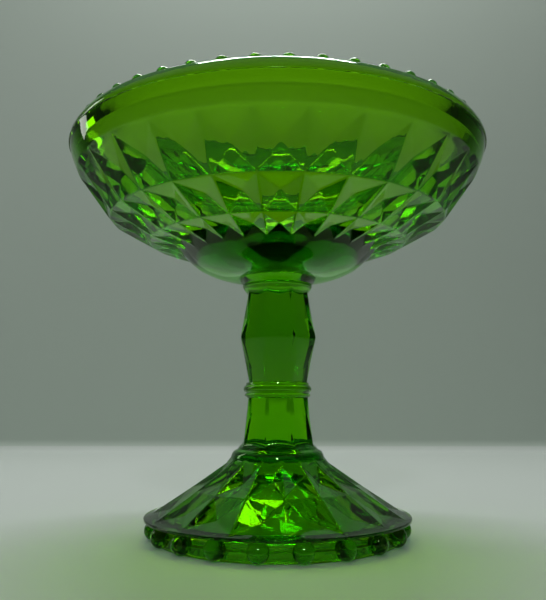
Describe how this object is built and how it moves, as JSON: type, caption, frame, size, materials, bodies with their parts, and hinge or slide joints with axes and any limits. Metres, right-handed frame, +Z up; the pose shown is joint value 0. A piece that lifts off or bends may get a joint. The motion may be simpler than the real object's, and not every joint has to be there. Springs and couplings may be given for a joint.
{
  "type": "footed glass compote",
  "caption": "Footed pressed-glass dish: faceted bowl with a beaded rim on an octagonal knopped stem and a faceted conical foot edged with beads.",
  "frame": {"origin": "bottom centre of the foot, on the surface the ring under the foot rests on", "axes": "+Z up along the axis of the stem, -Y towards the viewer, +X to the viewer's right"},
  "size_m": [0.1534, 0.1534, 0.1442],
  "materials": {
    "green_glass": "gloss"
  },
  "bodies": {
    "root": {"bowl": "green_glass", "rim_beads": "green_glass", "neck_rings": "green_glass", "upper_stem": "green_glass", "stem_ring": "green_glass", "lower_stem": "green_glass", "foot_collar": "green_glass", "foot": "green_glass", "base_beads": "green_glass"}
  },
  "joints": []
}
